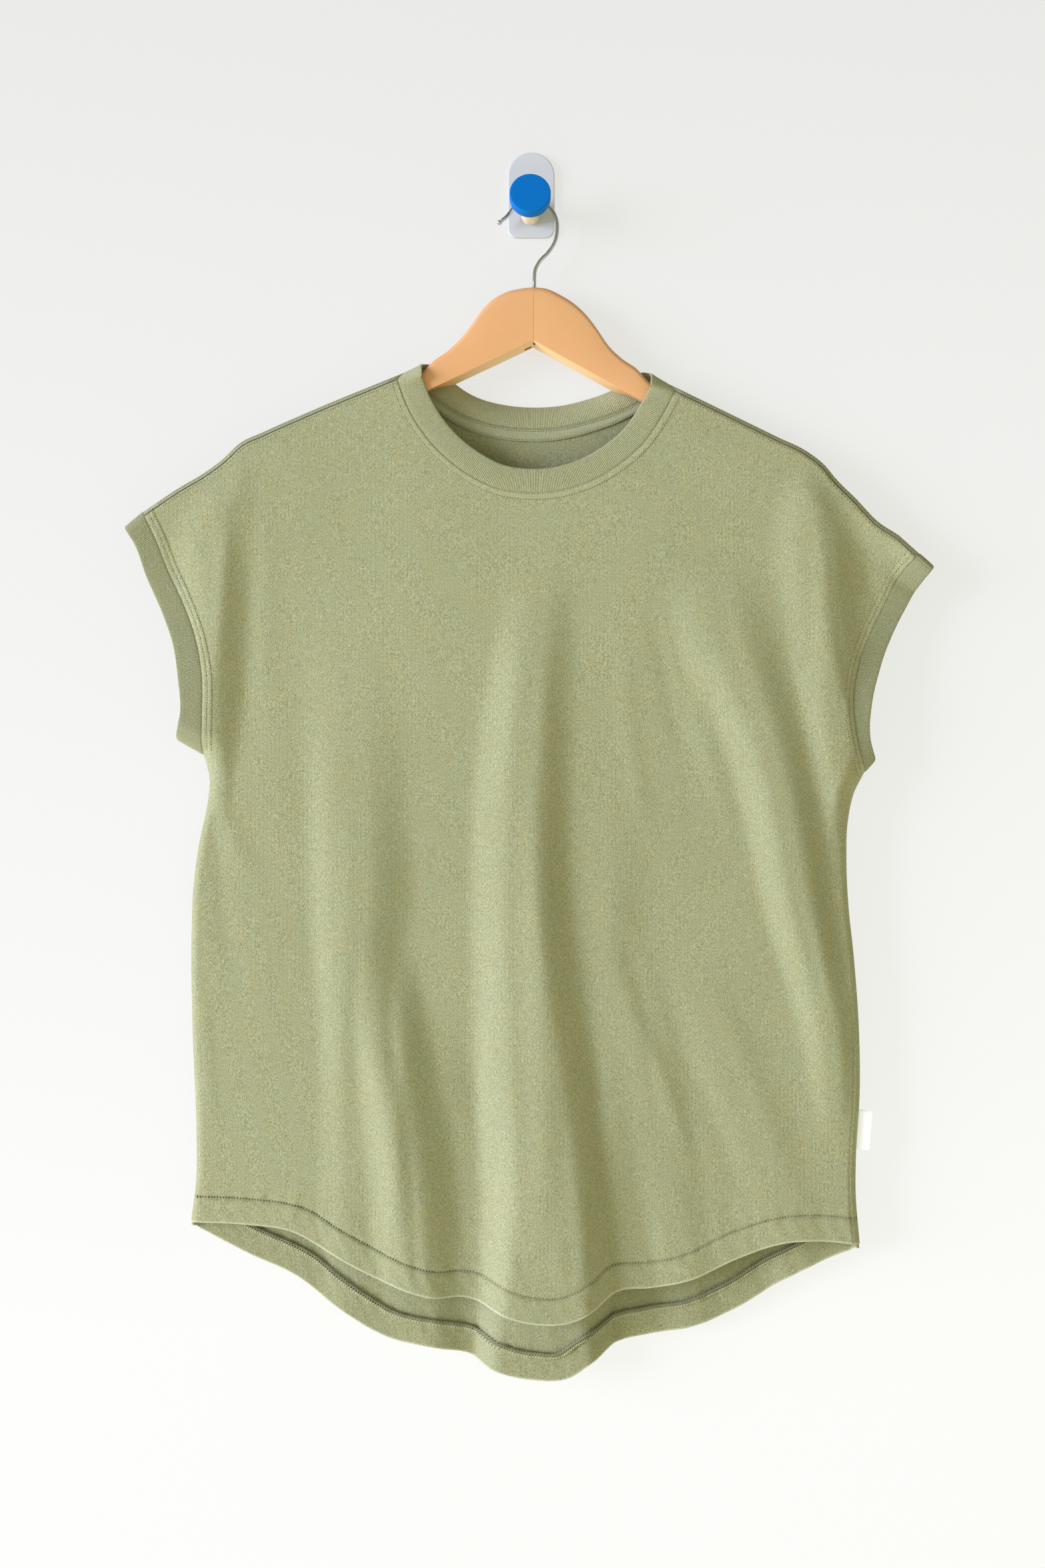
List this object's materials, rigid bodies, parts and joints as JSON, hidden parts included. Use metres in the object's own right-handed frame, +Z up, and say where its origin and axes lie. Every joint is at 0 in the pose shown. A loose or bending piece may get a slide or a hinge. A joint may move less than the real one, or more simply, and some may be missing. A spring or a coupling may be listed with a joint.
{
  "type": "t-shirt and hanger on wall hook",
  "caption": "Sage green cap-sleeve cotton t-shirt hung on a flat wooden hanger, its wire hook over a short wall peg with a round knob.",
  "frame": {"origin": "centre of the wall plate's back face, on the wall", "axes": "+Z up, +X to the right as seen from the front, +Y into the wall; the shirt hangs in front, at -Y"},
  "size_m": [0.6303, 0.0506, 0.9634],
  "materials": {
    "jersey": "matte",
    "rib": "matte",
    "tape": "matte",
    "label_cloth": "satin",
    "wood": "satin",
    "chrome": "polished",
    "plate_paint": "satin",
    "peg_wood": "satin",
    "knob_paint": "satin"
  },
  "bodies": {
    "root": {"front": "jersey", "back": "jersey", "collar": "rib", "cuff_left": "rib", "cuff_right": "rib", "neck_tape": "tape", "side_label": "label_cloth", "arm_left": "wood", "arm_right": "wood", "hook": "chrome", "hook_tip": "chrome", "wall_plate": "plate_paint", "peg": "peg_wood", "knob": "knob_paint"}
  },
  "joints": []
}
